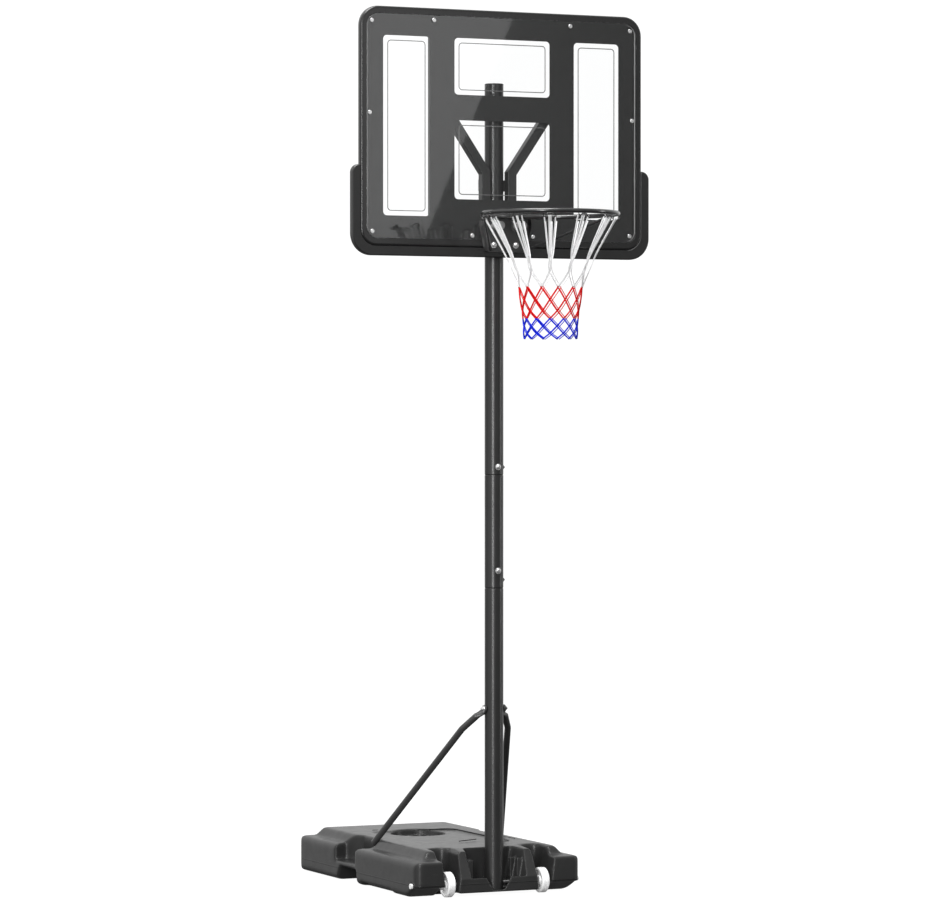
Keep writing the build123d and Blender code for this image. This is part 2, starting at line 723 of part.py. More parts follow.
FOOT_OUT_X = POCKET_IN_X + 0.5 + STRUT_EYE_T + 0.2
with BuildPart() as strut_foot_bolts:
    foot_bolt = flanged_screw(11, 9, SCREW_R, 30)
    add(Location((FOOT_OUT_X, STRUT_FOOT_Y, STRUT_FOOT_Z), TO_RIGHT) * foot_bolt)
    add(Location((-FOOT_OUT_X, STRUT_FOOT_Y, STRUT_FOOT_Z), TO_LEFT) * foot_bolt)
save(strut_foot_bolts.part, "strut_foot_bolts")


# ---------------------------------------------------------------- board
def board_face(x, z0, z1, r_top, r_bot):
    """Rounded rectangle in the board's plane."""
    with BuildSketch() as face:
        with Locations((0, (z0 + z1) / 2)):
            Rectangle(2 * x, z1 - z0)
        fillet(face.vertices().group_by(Axis.Y)[-1], r_top)
        fillet(face.vertices().group_by(Axis.Y)[0], r_bot)
    return face.sketch


with BuildPart() as board_sheet:
    with BuildSketch(facing_player(BOARD_Y + SHEET_T)):
        add(board_face(SHEET_X, SHEET_BOT_Z, SHEET_TOP_Z, SHEET_R_TOP, SHEET_R_BOT))
        with Locations((-BOLT_X, SPRING_Z), (BOLT_X, SPRING_Z)):
            Circle(SPRING_BOLT_R + 0.3, mode=Mode.SUBTRACT)
    extrude(amount=SHEET_T)
save(board_sheet.part, "board_sheet")

with BuildPart() as board_print:
    with BuildSketch(facing_player(BOARD_Y + SHEET_T + 0.05 + PRINT_T)):
        print_low_z = FRAME_IN_BOT_Z + 1
        print_top_z = FRAME_IN_TOP_Z - 1
        add(board_face(FRAME_IN_X - 1, print_low_z, print_top_z, FRAME_IN_R_TOP, FRAME_IN_R_BOT))
        for x, z, w, h in window_rects():
            with Locations((x, z)):
                RectangleRounded(w, h, WIN_R, mode=Mode.SUBTRACT)
        with Locations((-BOLT_X, SPRING_Z), (BOLT_X, SPRING_Z)):
            Circle(SPRING_BOLT_R + 0.3, mode=Mode.SUBTRACT)
    extrude(amount=PRINT_T)
save(board_print.part, "board_print")

with BuildPart() as window_lines:
    with BuildSketch(facing_player(BOARD_Y + SHEET_T + 0.05 + PRINT_T)):
        for x, z, w, h in window_rects():
            with Locations((x, z)):
                RectangleRounded(w - 2 * LINE_INSET, h - 2 * LINE_INSET, WIN_R)
        for x, z, w, h in window_rects():
            with Locations((x, z)):
                inner_w = w - 2 * LINE_INSET - 2 * LINE_W
                inner_h = h - 2 * LINE_INSET - 2 * LINE_W
                RectangleRounded(inner_w, inner_h, WIN_R - LINE_W, mode=Mode.SUBTRACT)
    extrude(amount=PRINT_T)
save(window_lines.part, "window_lines")

with BuildPart() as board_frame:
    with BuildSketch(facing_player(FRAME_BACK_Y)):
        add(board_face(FRAME_X, FRAME_BOT_Z, FRAME_TOP_Z, FRAME_R_TOP, FRAME_R_BOT))
        inner = board_face(FRAME_IN_X, FRAME_IN_BOT_Z, FRAME_IN_TOP_Z, FRAME_IN_R_TOP, FRAME_IN_R_BOT)
        add(inner, mode=Mode.SUBTRACT)
    extrude(amount=FRAME_BACK_Y - FRAME_FRONT_Y)
    front_edges = board_frame.edges().group_by(Axis.Y)[0]
    outer_front = front_edges.filter_by(lambda e: near_limit(e, FRAME_X, FRAME_BOT_Z, FRAME_TOP_Z))
    fillet(outer_front, 9)
    # back flange behind the sheet
    with BuildSketch(facing_player(FRAME_BACK_Y - 8)):
        add(board_face(FRAME_X - 4, FRAME_BOT_Z + 4, FRAME_TOP_Z - 4, FRAME_R_TOP - 4, FRAME_R_BOT - 4))
        flange_low_z = FRAME_IN_BOT_Z + FLANGE_BOT
        flange_top_z = FRAME_IN_TOP_Z - FLANGE_TOP
        add(board_face(FRAME_FLANGE, flange_low_z, flange_top_z, 20, 20), mode=Mode.SUBTRACT)
    extrude(amount=4)
    # slot for the sheet and its print
    with BuildSketch(facing_player(BOARD_Y + SHEET_T + 0.7)):
        add(board_face(SHEET_X + 0.3, SHEET_BOT_Z - 0.3, SHEET_TOP_Z + 0.3, SHEET_R_TOP, SHEET_R_BOT))
    extrude(amount=SHEET_T + 0.9, mode=Mode.SUBTRACT)
    # holes for the lower rim bolts
    with Locations(*bolt_pair(FRAME_BACK_Y, PIVOT_Z, TO_PLAYER)):
        Cylinder(RIM_BOLT_R + 0.3, 60, mode=Mode.SUBTRACT)
save(board_frame.part, "board_frame")

with BuildPart() as edge_guard:
    with BuildSketch(facing_player(GUARD_BACK_Y)) as guard_outline:
        with Locations((0, (GUARD_BOT_Z + GUARD_TOP_Z) / 2)):
            Rectangle(2 * GUARD_X, GUARD_TOP_Z - GUARD_BOT_Z)
        fillet(guard_outline.vertices().group_by(Axis.Y)[-1], 30)
        fillet(guard_outline.vertices().group_by(Axis.Y)[0], GUARD_R)
        frame_outside = board_face(FRAME_X + 0.3, FRAME_BOT_Z - 0.3, FRAME_TOP_Z, FRAME_R_TOP, FRAME_R_BOT)
        add(frame_outside, mode=Mode.SUBTRACT)
    extrude(amount=GUARD_BACK_Y - GUARD_FRONT_Y)
    guard_front = edge_guard.edges().group_by(Axis.Y)[0]
    outer_guard = guard_front.filter_by(lambda e: near_limit(e, GUARD_X, GUARD_BOT_Z, FRAME_TOP_Z))
    chamfer(outer_guard, 3)
save(edge_guard.part, "edge_guard")

SCREW_SPOTS = ((511, 3125), (269.5, 3134), (519, 2799.5), (509, 2379.5), (120, 2370.5))
with BuildPart() as frame_screws:
    for x, z in SCREW_SPOTS:
        for side in (-1, 1):
            with Locations(Location((side * x, BOARD_Y - 0.1, z), TO_PLAYER)):
                Cylinder(7.5, 2.4, align=(Align.CENTER, Align.CENTER, Align.MIN))
    chamfer(frame_screws.edges().group_by(Axis.Y)[0], 0.9)
    for x, z in SCREW_SPOTS:
        for side in (-1, 1):
            with Locations(Location((side * x, BOARD_Y - 3, z), TO_PLAYER)):
                Cylinder(2.6, 2.4, mode=Mode.SUBTRACT)
save(frame_screws.part, "frame_screws")


# ---------------------------------------------------------------- back of the board
def channel(width, depth, height, wall):
    """Upright open channel centred on the origin, open towards -Y."""
    with BuildPart() as bar:
        Box(width, depth, height)
        with Locations((0, -wall, 0)):
            Box(width - 2 * wall, depth, height + 2, mode=Mode.SUBTRACT)
    return bar.part


POST_Z0 = FRAME_IN_BOT_Z + 2
POST_Z1 = FRAME_IN_TOP_Z - 2
POST_MID_Y = (POST_Y0 + POST_Y1) / 2
POST_D = POST_Y1 - POST_Y0
upright = channel(POST_W, POST_D, POST_Z1 - POST_Z0, 2.5)
back_post_left = Pos(-POST_X, POST_MID_Y, (POST_Z0 + POST_Z1) / 2) * upright
save(back_post_left, "back_post_left")
back_post_right = Pos(POST_X, POST_MID_Y, (POST_Z0 + POST_Z1) / 2) * upright
save(back_post_right, "back_post_right")

RAIL_LEN = 2 * (POST_X - POST_W / 2) - 0.6
crossbar = Rotation(0, 90, 0) * channel(RAIL_H, POST_D, RAIL_LEN, 2.5)
back_rail_upper = Pos(0, POST_MID_Y, RAIL_HIGH_Z) * crossbar
save(back_rail_upper, "back_rail_upper")
back_rail_lower = Pos(0, POST_MID_Y, RAIL_LOW_Z) * crossbar
save(back_rail_lower, "back_rail_lower")

ARM_W = ARM_X1 - ARM_X0
ARM_LEAN = (ARM_END_Z - ARM_BEND_Z) * math.tan(math.radians(ARM_TILT))
ARM_SKEW = ARM_W / math.cos(math.radians(ARM_TILT))
ARM_MID_X = (ARM_X0 + ARM_X1) / 2
with BuildPart() as y_arm_right:
    with BuildSketch(facing_player(ARM_Y1)) as arm_outline:
        with BuildLine():
            Polyline(
                (ARM_X0, ARM_BOT_Z),
                (ARM_X1, ARM_BOT_Z),
                (ARM_X1, ARM_BEND_Z - 5),
                (ARM_MID_X + ARM_SKEW / 2 + ARM_LEAN, ARM_END_Z),
                (ARM_MID_X - ARM_SKEW / 2 + ARM_LEAN, ARM_END_Z),
                (ARM_X0, ARM_BEND_Z + 6),
                close=True,
            )
        make_face()
    extrude(amount=ARM_Y1 - ARM_Y0)
    fillet(y_arm_right.edges().filter_by(lambda e: e.length > 100), 3)
    arm_ends = y_arm_right.faces().filter_by(Axis.Z)
    offset(amount=-ARM_WALL, openings=arm_ends)
save(y_arm_right.part, "y_arm_right")
y_arm_left = mirror(y_arm_right.part, about=Plane.YZ)
save(y_arm_left, "y_arm_left")

ARM_BOLT_Z = 2848.0
ARM_TOP_BOLT_X = ARM_MID_X + (ARM_BOLT_Z - ARM_BEND_Z) * math.tan(math.radians(ARM_TILT))
with BuildPart() as arm_bolts:
    for side in (-1, 1):
        for x, z in ((ARM_TOP_BOLT_X, ARM_BOLT_Z), (ARM_MID_X, RAIL_LOW_Z)):
            with Locations(Location((side * x, ARM_Y1 + 0.1, z), TO_BACK)):
                Cylinder(9, 5, align=(Align.CENTER, Align.CENTER, Align.MIN))
save(arm_bolts.part, "arm_bolts")


def clamp_strap(z):
    """Strap round the back of the pole with an ear on each arm."""
    ear_y = ARM_Y1 + 0.1
    with BuildPart() as strap:
        with BuildSketch(Plane.XY.offset(z - STRAP_H / 2)):
            with Locations((0, POLE_Y)):
                Circle(POLE_R + RUN + STRAP_T)
            with Locations((0, ear_y - 50)):
                Rectangle(200, 100, mode=Mode.SUBTRACT)
            with Locations((0, ear_y + STRAP_T / 2)):
                Rectangle(2 * ARM_X1 - 4, STRAP_T)
            with Locations((0, POLE_Y)):
                Circle(POLE_R + RUN, mode=Mode.SUBTRACT)
        extrude(amount=STRAP_H)
    return strap.part


clamp_strap_upper = clamp_strap(STRAP_HIGH_Z)
save(clamp_strap_upper, "clamp_strap_upper")
clamp_strap_lower = clamp_strap(STRAP_LOW_Z)
save(clamp_strap_lower, "clamp_strap_lower")

with BuildPart() as clamp_bolts:
    for z in (STRAP_HIGH_Z, STRAP_LOW_Z):
        for side in (-1, 1):
            with Locations(Location((side * (ARM_MID_X + 3), ARM_Y1 + STRAP_T + 0.2, z), TO_BACK)):
                Cylinder(9, 6, align=(Align.CENTER, Align.CENTER, Align.MIN))
save(clamp_bolts.part, "clamp_bolts")


# ---------------------------------------------------------------- rim, fixed part
BACKPLATE_W = 124.0
BACKPLATE_BOT_Z = FRAME_IN_BOT_Z + 4
BACKPLATE_TOP_Z = 2440.0

with BuildPart() as rim_backplate:
    with BuildSketch(facing_player(BOARD_Y - 0.1)):
        with Locations((0, (BACKPLATE_BOT_Z + BACKPLATE_TOP_Z) / 2)):
            RectangleRounded(BACKPLATE_W, BACKPLATE_TOP_Z - BACKPLATE_BOT_Z, 6)
        with Locations((-BOLT_X, SPRING_Z), (BOLT_X, SPRING_Z)):
            Circle(SPRING_BOLT_R + 0.3, mode=Mode.SUBTRACT)
    extrude(amount=BOARD_Y - 0.1 - RIM_PLATE_Y - 2.4)
save(rim_backplate.part, "rim_backplate")

RIM_BOLT_SEAT_Y = RIM_PLATE_Y - RIM_PLATE_T - 2.2
with BuildPart() as rim_bolts:
    rim_bolt = flanged_screw(11, 8, RIM_BOLT_R, FRAME_BACK_Y - RIM_BOLT_SEAT_Y - 3)
    for place in bolt_pair(RIM_BOLT_SEAT_Y, PIVOT_Z, TO_PLAYER):
        add(place * rim_bolt)
save(rim_bolts.part, "rim_bolts")

SPRING_NUT_Y = BOARD_Y + SHEET_T + PRINT_T + 0.3
SPRING_BOLT_LEN = SPRING_NUT_Y - SPRING_CAP_Y + 14
with BuildPart() as spring_bolts:
    for side in (-1, 1):
        with Locations(Location((side * BOLT_X, SPRING_NUT_Y, SPRING_Z), TO_PLAYER)):
            Cylinder(SPRING_BOLT_R, SPRING_BOLT_LEN, align=(Align.CENTER, Align.CENTER, Align.MIN))
        with Locations(Location((side * BOLT_X, SPRING_NUT_Y, SPRING_Z), TO_BACK)):
            Cylinder(8.5, 6, align=(Align.CENTER, Align.CENTER, Align.MIN))
        with Locations(Location((side * BOLT_X, SPRING_CAP_Y, SPRING_Z), TO_PLAYER)):
            Cylinder(SPRING_CAP_R, 3.5, align=(Align.CENTER, Align.CENTER, Align.MIN))
            Cylinder(9, 10, align=(Align.CENTER, Align.CENTER, Align.MIN))
save(spring_bolts.part, "spring_bolts")


# ---------------------------------------------------------------- rim, tipping part
RIM_LOW_X = 77.0
RIM_MID_X = 98.0
RIM_TOP_X = 90.0
RIM_LOW_Z = 2312.0
RIM_MID_Z = 2405.0
RIM_TOP_Z = 2452.0
RIM_OUTLINE = ((RIM_LOW_X, RIM_LOW_Z), (RIM_MID_X, RIM_MID_Z), (RIM_TOP_X, RIM_TOP_Z))
RIM_SHELL = 3.0
SHELF_T = 4.0
SHELF_TIP_X = 60.0           # half width where the shelf meets the ring
SHELF_TOP_Z = RING_Z + 1

with BuildPart() as rim_bracket:
    with BuildSketch(facing_player(RIM_PLATE_Y)) as pan:
        with BuildLine():
            Polyline(*RIM_OUTLINE, *[(-x, z) for x, z in reversed(RIM_OUTLINE)], close=True)
        make_face()
        fillet(pan.vertices().group_by(Axis.Y)[0], 8)
    extrude(amount=RIM_FLANGE)
    with BuildSketch(facing_player(RIM_PLATE_Y - RIM_PLATE_T)) as pan_inside:
        with BuildLine():
            Polyline(
                (RIM_LOW_X - RIM_SHELL, RIM_LOW_Z + RIM_SHELL),
                (RIM_MID_X - RIM_SHELL, RIM_MID_Z),
                (RIM_TOP_X - RIM_SHELL, RIM_TOP_Z + 8),
                (RIM_SHELL - RIM_TOP_X, RIM_TOP_Z + 8),
                (RIM_SHELL - RIM_MID_X, RIM_MID_Z),
                (RIM_SHELL - RIM_LOW_X, RIM_LOW_Z + RIM_SHELL),
                close=True,
            )
        make_face()
    extrude(amount=RIM_FLANGE, mode=Mode.SUBTRACT)
    with BuildSketch(facing_player(RIM_PLATE_Y + 1)):
        with Locations((-BOLT_X, PIVOT_Z), (BOLT_X, PIVOT_Z)):
            Circle(6)
        with Locations((-BOLT_X, SPRING_Z), (BOLT_X, SPRING_Z)):
            Circle(8)
    extrude(amount=RIM_PLATE_T + 2, mode=Mode.SUBTRACT)
    # shelf from the plate to the ring
    with BuildSketch(Plane.XY.offset(SHELF_TOP_Z - SHELF_T)):
        with BuildLine():
            Polyline(
                (-RIM_TOP_X, RIM_PLATE_Y - 1),
                (RIM_TOP_X, RIM_PLATE_Y - 1),
                (RIM_TOP_X, RIM_PLATE_Y - RIM_FLANGE),
                (SHELF_TIP_X, RING_Y + RING_R),
                (-SHELF_TIP_X, RING_Y + RING_R),
                (-RIM_TOP_X, RIM_PLATE_Y - RIM_FLANGE),
                close=True,
            )
        make_face()
        with Locations((0, RING_Y)):
            Circle(RING_R + RING_TUBE_R + 0.2, mode=Mode.SUBTRACT)
    extrude(amount=SHELF_T)
save(rim_bracket.part, "rim_bracket")

SEAT_Y = RIM_PLATE_Y - RIM_PLATE_T - 0.1
with BuildPart() as spring_seats:
    for side in (-1, 1):
        with Locations(Location((side * BOLT_X, SEAT_Y, SPRING_Z), TO_PLAYER)):
            Cylinder(18, SPRING_SEAT_T, align=(Align.CENTER, Align.CENTER, Align.MIN))
            Cylinder(8, 3 * SPRING_SEAT_T, mode=Mode.SUBTRACT)
save(spring_seats.part, "spring_seats")

SPRING_Y0 = SEAT_Y - SPRING_SEAT_T - SPRING_WIRE_R - 0.2
SPRING_LEN = SPRING_Y0 - SPRING_CAP_Y - SPRING_WIRE_R - 0.2
SPRING_TURNS = 6

with BuildPart() as springs:
    for side in (-1, 1):
        coil_start = (side * BOLT_X, SPRING_Y0, SPRING_Z)
        with BuildLine() as coil_path:
            Helix(SPRING_LEN / SPRING_TURNS, SPRING_LEN, SPRING_R, center=coil_start, direction=(0, -1, 0))
        with BuildSketch(Plane(origin=coil_path.line @ 0, z_dir=coil_path.line % 0)):
            Circle(SPRING_WIRE_R)
        sweep(path=coil_path.line)
save(springs.part, "springs")

with BuildPart() as rim_ring:
    with Locations((0, RING_Y, RING_Z)):
        Torus(RING_R, RING_TUBE_R)
save(rim_ring.part, "rim_ring")


def net_hook():
    """Wire under the ring with an upturned end each way along it: local x is outwards, y along the ring."""
    with BuildPart() as hook:
        with BuildLine() as wire:
            FilletPolyline(
                (HOOK_OUT, -HOOK_HALF, -HOOK_DROP / 3),
                (HOOK_OUT / 2, -HOOK_HALF, -HOOK_DROP),
                (0, 5 - HOOK_HALF, -HOOK_DROP),
                (0, 12 - HOOK_HALF, -HOOK_WIRE_R - 0.2),
                (0, HOOK_HALF - 12, -HOOK_WIRE_R - 0.2),
                (0, HOOK_HALF - 5, -HOOK_DROP),
                (HOOK_OUT / 2, HOOK_HALF, -HOOK_DROP),
                (HOOK_OUT, HOOK_HALF, -HOOK_DROP / 3),
                radius=2.4,
            )
        with BuildSketch(Plane(origin=wire.wires()[0] @ 0, z_dir=wire.wires()[0] % 0)):
            Circle(HOOK_WIRE_R)
        sweep(path=wire.wires()[0], transition=Transition.ROUND)
    return hook.part


with BuildPart() as net_hooks:
    for at in PolarLocations(RING_R, NET_COLUMNS, start_angle=HOOK_TURN):
        add(Pos(0, RING_Y, RING_Z - RING_TUBE_R) * at * net_hook())
save(net_hooks.part, "net_hooks")

with BuildPart() as rim_braces:
    angle = math.radians(BRACE_ANGLE)
    brace_top_z = RING_Z - RING_TUBE_R - BRACE_R - RUN
    brace_top = Vector(RING_R * math.sin(angle), RING_Y + RING_R * math.cos(angle), brace_top_z)
    brace_low = Vector(68, RIM_PLATE_Y - RIM_FLANGE - RUN, RIM_LOW_Z + BRACE_R + 2)
    brace_dir = (brace_top - brace_low).normalized()
    with BuildSketch(Plane(origin=brace_low, z_dir=brace_dir)):
        Circle(BRACE_R)
    extrude(amount=(brace_top - brace_low).length)
    with Locations(brace_top):
        Sphere(BRACE_R)
    mirror(about=Plane.YZ)
save(rim_braces.part, "rim_braces")

with BuildPart() as net:
    with BuildSketch(facing_player(RING_Y)):
        with BuildLine():
            Polyline(*NET_PROFILE, *[(r - NET_T, z) for r, z in reversed(NET_PROFILE)], close=True)
        make_face()
    revolve(axis=Axis((0, RING_Y, 0), (0, 0, 1)))
save(net.part, "net")
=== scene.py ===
"""Looks of the portable basketball hoop: materials, corded net, moulded tank, light and camera."""
import json
import math

import bmesh
import bpy
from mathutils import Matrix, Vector


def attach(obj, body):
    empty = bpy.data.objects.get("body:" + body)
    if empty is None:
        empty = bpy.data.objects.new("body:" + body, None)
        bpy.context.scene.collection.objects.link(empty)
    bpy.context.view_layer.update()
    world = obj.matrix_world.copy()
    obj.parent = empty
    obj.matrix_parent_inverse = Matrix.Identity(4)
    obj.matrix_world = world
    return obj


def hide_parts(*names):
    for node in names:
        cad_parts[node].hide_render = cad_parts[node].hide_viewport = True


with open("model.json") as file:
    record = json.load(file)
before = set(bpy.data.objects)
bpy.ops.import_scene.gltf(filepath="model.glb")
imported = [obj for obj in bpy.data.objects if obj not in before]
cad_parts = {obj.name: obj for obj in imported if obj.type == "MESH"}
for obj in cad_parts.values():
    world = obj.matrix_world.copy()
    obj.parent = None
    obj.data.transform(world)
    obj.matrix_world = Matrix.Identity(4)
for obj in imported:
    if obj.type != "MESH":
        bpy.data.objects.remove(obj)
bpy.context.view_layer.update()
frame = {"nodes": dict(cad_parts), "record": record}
NODES = frame["nodes"]


# ---------------------------------------------------------------- shader nodes
def new_material(name):
    """An empty node material with its output, one Principled shader and object coordinates."""
    mat = bpy.data.materials.new(name)
    mat.use_nodes = True
    tree = mat.node_tree
    tree.nodes.clear()
    output = tree.nodes.new("ShaderNodeOutputMaterial")
    shader = tree.nodes.new("ShaderNodeBsdfPrincipled")
    coords = tree.nodes.new("ShaderNodeTexCoord")
    tree.links.new(shader.outputs["BSDF"], output.inputs["Surface"])
    return mat, tree, shader, coords.outputs["Object"]


def noise(tree, where, scale, detail=3.0, rough=0.5, stretch=None):
    """Noise over the object, in features per metre, stretched along the axes where asked."""
    node = tree.nodes.new("ShaderNodeTexNoise")
    node.inputs["Scale"].default_value = scale
    node.inputs["Detail"].default_value = detail
    node.inputs["Roughness"].default_value = rough
    if stretch:
        mapping = tree.nodes.new("ShaderNodeMapping")
        mapping.inputs["Scale"].default_value = stretch
        tree.links.new(where, mapping.inputs["Vector"])
        where = mapping.outputs["Vector"]
    tree.links.new(where, node.inputs["Vector"])
    return node.outputs["Fac"]


def remap(tree, value, low=0.0, high=1.0, from_low=0.3, from_high=0.7):
    """The value stretched from one range onto another, clamped."""
    node = tree.nodes.new("ShaderNodeMapRange")
    node.inputs["From Min"].default_value = from_low
    node.inputs["From Max"].default_value = from_high
    node.inputs["To Min"].default_value = low
    node.inputs["To Max"].default_value = high
    tree.links.new(value, node.inputs["Value"])
    return node.outputs["Result"]


def maths(tree, operation, *values):
    """The result of a math node on these values, each a number or a socket."""
    node = tree.nodes.new("ShaderNodeMath")
    node.operation = operation
    for value, socket in zip(values, node.inputs):
        if isinstance(value, (int, float)):
            socket.default_value = value
        else:
            tree.links.new(value, socket)
    return node.outputs["Value"]


def mix_colour(tree, fac, a, b):
    """Colour a where fac is 0 and b where it is 1. Each is a grey level, a triple or a socket."""
    node = tree.nodes.new("ShaderNodeMix")
    node.data_type = "RGBA"
    tree.links.new(fac, node.inputs["Factor"])
    for value, socket in ((a, node.inputs["A"]), (b, node.inputs["B"])):
        if isinstance(value, (int, float)):
            value = (value, value, value)
        if isinstance(value, tuple):
            socket.default_value = (*value, 1.0)
        else:
            tree.links.new(value, socket)
    return node.outputs["Result"]


def bump(tree, height, distance, strength=1.0, under=None):
    """A bump of this depth in metres, on top of another if one is given."""
    node = tree.nodes.new("ShaderNodeBump")
    node.inputs["Distance"].default_value = distance
    node.inputs["Strength"].default_value = strength
    tree.links.new(height, node.inputs["Height"])
    if under is not None:
        tree.links.new(under, node.inputs["Normal"])
    return node.outputs["Normal"]


# ---------------------------------------------------------------- materials
GLOSS_LESS = 0.012           # how far a coat's roughness wanders down and up
GLOSS_MORE = 0.016
LACQUER_ROUGH = 0.12
PLATED = 0.9                 # how metallic a zinc-plated piece is
SHEET_TINT = (0.995, 0.998, 0.998, 1.0)
SHEET_IOR = 1.46
PLIES = 3
CORD_TURNS = 170.0           # turns of the plies in a metre of cord
PARTING_Z = 0.047            # height of the tank's parting line
PARTING_HALF = 0.0022        # half the width of that line
# The three tones of a cord: its own colour on a ply, painted shade between the plies, painted shade where
# the cord is seen edge-on.
NET_WHITE = ((0.90, 0.90, 0.90), (0.70, 0.70, 0.71), (0.34, 0.34, 0.35))       # on a ply, between, edge-on
NET_RED = ((0.78, 0.004, 0.005), (0.62, 0.003, 0.004), (0.40, 0.002, 0.002))
NET_BLUE = ((0.006, 0.024, 0.76), (0.004, 0.016, 0.58), (0.002, 0.008, 0.34))


def coated(name, low, high, rough, grain, depth, specular=0.5, coat=0.0, metallic=0.0, patch=9.0):
    """Painted, moulded or plated: two close tones in soft patches, uneven gloss and a fine grain."""
    mat, tree, shader, where = new_material(name)
    patches = noise(tree, where, patch, detail=4.0)
    tone = mix_colour(tree, remap(tree, patches), low, high)
    tree.links.new(tone, shader.inputs["Base Color"])
    uneven = noise(tree, where, 4 * patch, detail=5.0, rough=0.6)
    gloss = remap(tree, uneven, rough - GLOSS_LESS, rough + GLOSS_MORE)
    tree.links.new(gloss, shader.inputs["Roughness"])
    fine = noise(tree, where, grain, detail=2.0)
    tree.links.new(bump(tree, fine, depth), shader.inputs["Normal"])
    shader.inputs["Specular IOR Level"].default_value = specular
    shader.inputs["Coat Weight"].default_value = coat
    shader.inputs["Coat Roughness"].default_value = LACQUER_ROUGH
    shader.inputs["Metallic"].default_value = metallic
    return mat


def brushed(name, low, high, rough):
    """Zinc-plated steel with fine turning marks and dull spots."""
    mat, tree, shader, where = new_material(name)
    marks = noise(tree, where, 900.0, detail=3.0, rough=0.6, stretch=(1.0, 0.06, 1.0))
    tone = mix_colour(tree, remap(tree, marks), low, high)
    tree.links.new(tone, shader.inputs["Base Color"])
    dull = remap(tree, noise(tree, where, 160.0, detail=4.0), rough - 0.06, rough + 0.12)
    tree.links.new(dull, shader.inputs["Roughness"])
    tree.links.new(bump(tree, marks, distance=0.00001), shader.inputs["Normal"])
    shader.inputs["Metallic"].default_value = PLATED
    return mat


def clear_sheet(name):
    """Clear polycarbonate: see-through, with a mirror gloss that grows towards grazing angles.

    Past about 43 degrees off its normal the far face reflects everything, so the sheet looks dark.
    """
    mat, tree, shader, where = new_material(name)
    tree.nodes.remove(shader)
    output = tree.nodes["Material Output"]
    through = tree.nodes.new("ShaderNodeBsdfTransparent")
    through.inputs["Color"].default_value = SHEET_TINT
    mirror = tree.nodes.new("ShaderNodeBsdfGlossy")
    haze = remap(tree, noise(tree, where, 14.0, detail=4.0), low=0.01, high=0.03)
    tree.links.new(haze, mirror.inputs["Roughness"])
    share = tree.nodes.new("ShaderNodeFresnel")
    share.inputs["IOR"].default_value = SHEET_IOR
    both = tree.nodes.new("ShaderNodeMixShader")
    tree.links.new(share.outputs["Fac"], both.inputs["Fac"])
    tree.links.new(through.outputs["BSDF"], both.inputs[1])
    tree.links.new(mirror.outputs["BSDF"], both.inputs[2])
    tree.links.new(both.outputs["Shader"], output.inputs["Surface"])
    return mat


def corded(name, pale, groove_shade, edge_shade):
    """Twisted nylon cord: plies that wind round it, from the cord's own map, with fine fibres, and painted
    shade in the grooves between the plies and where the cord is seen edge-on.
    """
    mat, tree, shader, where = new_material(name)
    uv = tree.nodes.new("ShaderNodeUVMap")
    uv.uv_map = "cord"
    split = tree.nodes.new("ShaderNodeSeparateXYZ")
    tree.links.new(uv.outputs["UV"], split.inputs["Vector"])
    wound = maths(tree, "MULTIPLY_ADD", split.outputs["Y"], CORD_TURNS, split.outputs["X"])
    wave = maths(tree, "SINE", maths(tree, "MULTIPLY", wound, PLIES * 2 * math.pi))
    ply = remap(tree, wave, from_low=-1.0, from_high=0.4)
    # Painted shade: darker between the plies, as if the grooves were in shadow.
    ply_and_groove_shade = mix_colour(tree, ply, groove_shade, pale)
    # Painted shade: darker where the cord's surface turns edge-on to the eye.
    edge_on = tree.nodes.new("ShaderNodeLayerWeight")
    edge_on.inputs["Blend"].default_value = 0.5
    edge_shade_share = remap(tree, edge_on.outputs["Facing"], from_low=0.35, from_high=1.0)
    tree.links.new(mix_colour(tree, edge_shade_share, ply_and_groove_shade, edge_shade), shader.inputs["Base Color"])
    fibres = noise(tree, where, 2600.0, detail=2.0)
    raised = bump(tree, ply, distance=0.0005)
    tree.links.new(bump(tree, fibres, 0.0001, strength=0.6, under=raised), shader.inputs["Normal"])
    shader.inputs["Roughness"].default_value = 0.62
    shader.inputs["Specular IOR Level"].default_value = 0.15
    return mat


def tank_plastic(name):
    """Blow-moulded polyethylene: leathery grain, a parting line all round, scuffs and slight waves."""
    mat, tree, shader, where = new_material(name)
    split = tree.nodes.new("ShaderNodeSeparateXYZ")
    tree.links.new(where, split.inputs["Vector"])
    apart = maths(tree, "ABSOLUTE", maths(tree, "SUBTRACT", split.outputs["Z"], PARTING_Z))
    seam = remap(tree, apart, 1.0, 0.0, from_low=0.0, from_high=PARTING_HALF)
    patches = remap(tree, noise(tree, where, 7.0, detail=4.0))
    scratches = noise(tree, where, 55.0, detail=8.0, rough=0.7, stretch=(0.5, 0.5, 2.0))
    scuffed = remap(tree, scratches, from_low=0.58, from_high=0.8)
    body = mix_colour(tree, patches, 0.019, 0.024)
    worn = mix_colour(tree, scuffed, body, 0.034)
    tree.links.new(mix_colour(tree, seam, worn, 0.010), shader.inputs["Base Color"])
    gloss = remap(tree, noise(tree, where, 30.0, detail=5.0, rough=0.6), low=0.30, high=0.38)
    tree.links.new(gloss, shader.inputs["Roughness"])
    leather = bump(tree, noise(tree, where, 900.0, detail=2.0), distance=0.00004)
    waves = bump(tree, noise(tree, where, 9.0, detail=1.0), distance=0.0008, under=leather)
    tree.links.new(bump(tree, seam, distance=0.0006, under=waves), shader.inputs["Normal"])
    shader.inputs["Specular IOR Level"].default_value = 0.33
    return mat


